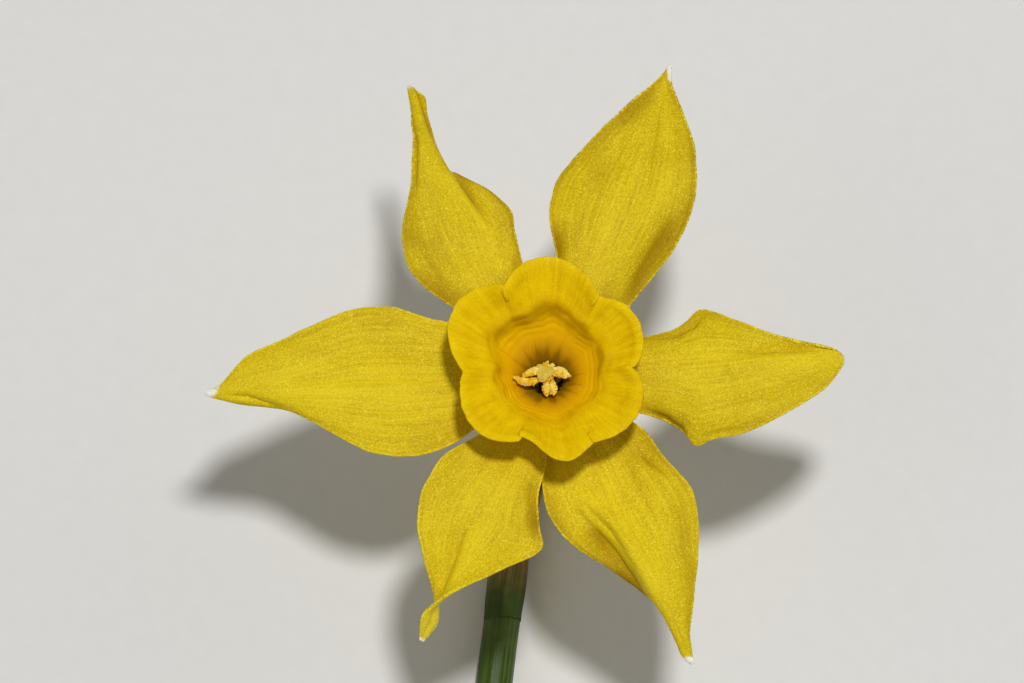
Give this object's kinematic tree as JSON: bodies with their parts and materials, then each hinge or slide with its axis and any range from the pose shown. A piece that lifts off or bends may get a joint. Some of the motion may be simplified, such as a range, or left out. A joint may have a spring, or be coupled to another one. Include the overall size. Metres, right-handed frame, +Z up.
{
  "type": "daffodil flower",
  "caption": "Cut jonquil-type daffodil lying on its curved stem, with pointed spreading tepals round a lobed cup that faces up.",
  "frame": {"origin": "middle of the bounding box, on the surface that the cut flower lies on", "axes": "+Z up, the way the flower faces; +Y from the cut end of the stem towards the flower; +X to the right seen from the cut end"},
  "size_m": [0.0362, 0.1062, 0.0244],
  "materials": {
    "tepal": "finely glittering waxy petal skin with lengthwise veins",
    "corona": "finely fluted, deeper orange-yellow petal skin",
    "tube": "smooth greenish-yellow plant skin",
    "stem": "smooth green plant skin with fine ribs and a waxy bloom",
    "spathe": "dry papery sheath, ribbed and slightly see-through",
    "anther": "powdery pollen",
    "filament": "smooth and pale",
    "pistil": "moist and pale, with a finely beaded stigma"
  },
  "bodies": {
    "root": {"anther_lower_back": "anther", "anther_lower_front": "anther", "anther_lower_side": "anther", "anther_upper_bottom": "anther", "anther_upper_left": "anther", "anther_upper_right": "anther", "corona": "corona", "filament_lower_back": "filament", "filament_lower_front": "filament", "filament_lower_side": "filament", "filament_upper_bottom": "filament", "filament_upper_left": "filament", "filament_upper_right": "filament", "flower_tube": "tube", "inner_tepal_bottom": "tepal", "inner_tepal_right": "tepal", "inner_tepal_top": "tepal", "outer_tepal_bottom": "tepal", "outer_tepal_left": "tepal", "outer_tepal_top": "tepal", "ovary": "stem", "pedicel": "stem", "spathe": "spathe", "stem": "stem", "stigma": "pistil", "style": "pistil"}
  },
  "joints": []
}
